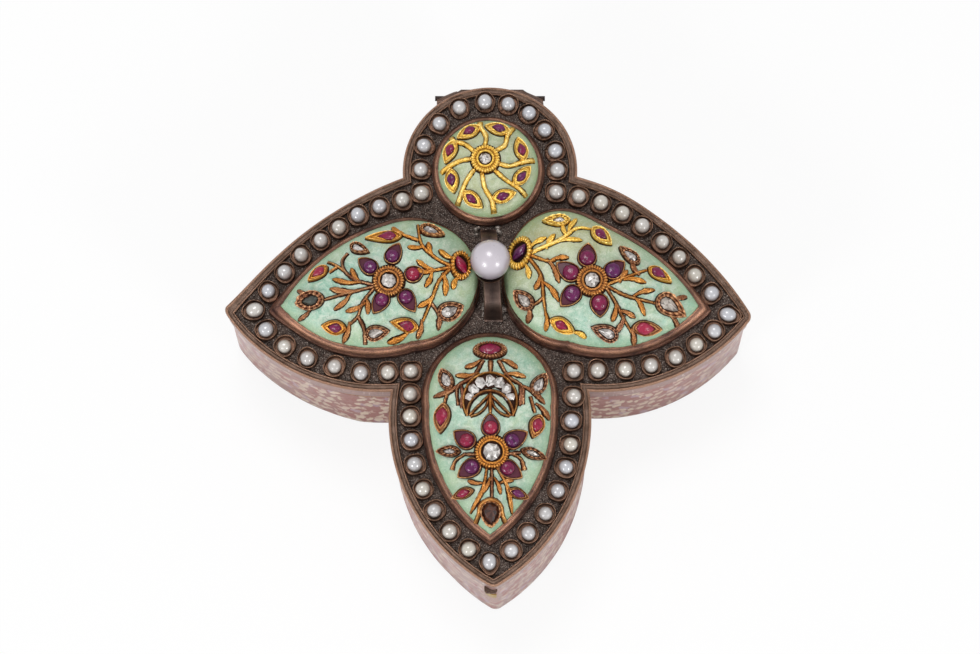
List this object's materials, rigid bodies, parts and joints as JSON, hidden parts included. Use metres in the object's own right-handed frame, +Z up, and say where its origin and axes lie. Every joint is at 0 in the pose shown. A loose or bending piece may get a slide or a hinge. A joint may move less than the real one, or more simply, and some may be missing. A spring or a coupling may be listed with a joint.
{
  "type": "jewelled box",
  "caption": "Hinged trinket box with a round lobe and three pointed leaves; its lid has pearl borders, enamel domes, gem-set sprays and one large pearl.",
  "frame": {"origin": "on the resting face, under the crossing of the four lobes", "axes": "+Z up; +Y towards the round lobe and the hinge; -Y towards the front point with the catch; +X towards the right leaf"},
  "size_m": [0.0898, 0.0889, 0.0378],
  "materials": {
    "bronze": "dark worn bronze",
    "pink_enamel": "enamel on metal, dusty pink with cream and red marks",
    "copper": "worn coppery gilding",
    "brass": "plain brass",
    "dark_ground": "blackened, granulated",
    "pearl_row": "seed pearls in dark collets",
    "pearl": "pearl lustre",
    "green_enamel": "pale green enamel, mottled",
    "gilt": "worn orange gilding, dark in the recesses",
    "gold": "bright gilding",
    "diamond": "rose-cut gem",
    "ruby": "smooth magenta-red gem"
  },
  "bodies": {
    "box": {"base_plate": "bronze", "side_wall": "pink_enamel", "inner_liner": "copper", "hinge_body_leaf": "bronze", "hinge_pin": "brass", "catch_frame": "brass", "catch_spring": "brass"},
    "lid": {"hinge_lid_leaf": "bronze", "lid_rim": "bronze", "bridge_strap": "bronze", "pearl_cup": "bronze", "lid_skirt": "pink_enamel", "lid_lining": "copper", "bezel_left": "copper", "bezel_right": "copper", "bezel_front": "copper", "bezel_round": "copper", "catch_tongue": "brass", "pearl_peg": "brass", "lid_plate": "dark_ground", "pearls_round": "pearl_row", "pearls_left": "pearl_row", "pearls_right": "pearl_row", "pearls_front": "pearl_row", "centre_pearl": "pearl", "dome_left": "green_enamel", "dome_right": "green_enamel", "dome_front": "green_enamel", "dome_round": "green_enamel", "spray_left": "gilt", "spray_right": "gilt", "spray_front": "gilt", "pinwheel": "gold", "flower_diamond_left": "diamond", "flower_diamond_right": "diamond", "flower_diamond_front": "diamond", "flower_diamond_round": "diamond", "crescent": "diamond", "calyx_ruby_left": "ruby", "calyx_ruby_right": "ruby", "calyx_ruby_front": "ruby", "petal_ruby_left_1": "ruby", "petal_ruby_left_2": "ruby", "petal_ruby_left_3": "ruby", "petal_ruby_left_4": "ruby", "petal_ruby_left_5": "ruby", "petal_ruby_right_1": "ruby", "petal_ruby_right_2": "ruby", "petal_ruby_right_3": "ruby", "petal_ruby_right_4": "ruby", "petal_ruby_right_5": "ruby", "petal_ruby_front_1": "ruby", "petal_ruby_front_2": "ruby", "petal_ruby_front_3": "ruby", "petal_ruby_front_4": "ruby", "petal_ruby_front_5": "ruby"},
    "catch": {"catch_push": "brass"}
  },
  "joints": [
    {"name": "lid_hinge", "type": "hinge", "parent": "box", "child": "lid", "pos_m": [0, 0.03125, 0.01955], "axis": [-1, 0, 0], "range_deg": [0, 100]},
    {"name": "catch_push", "type": "slide", "parent": "box", "child": "catch", "axis": [0, 1, 0], "range_m": [0, 0.0008], "stiffness_N_per_m": 300, "springref_m": -0.0003}
  ]
}
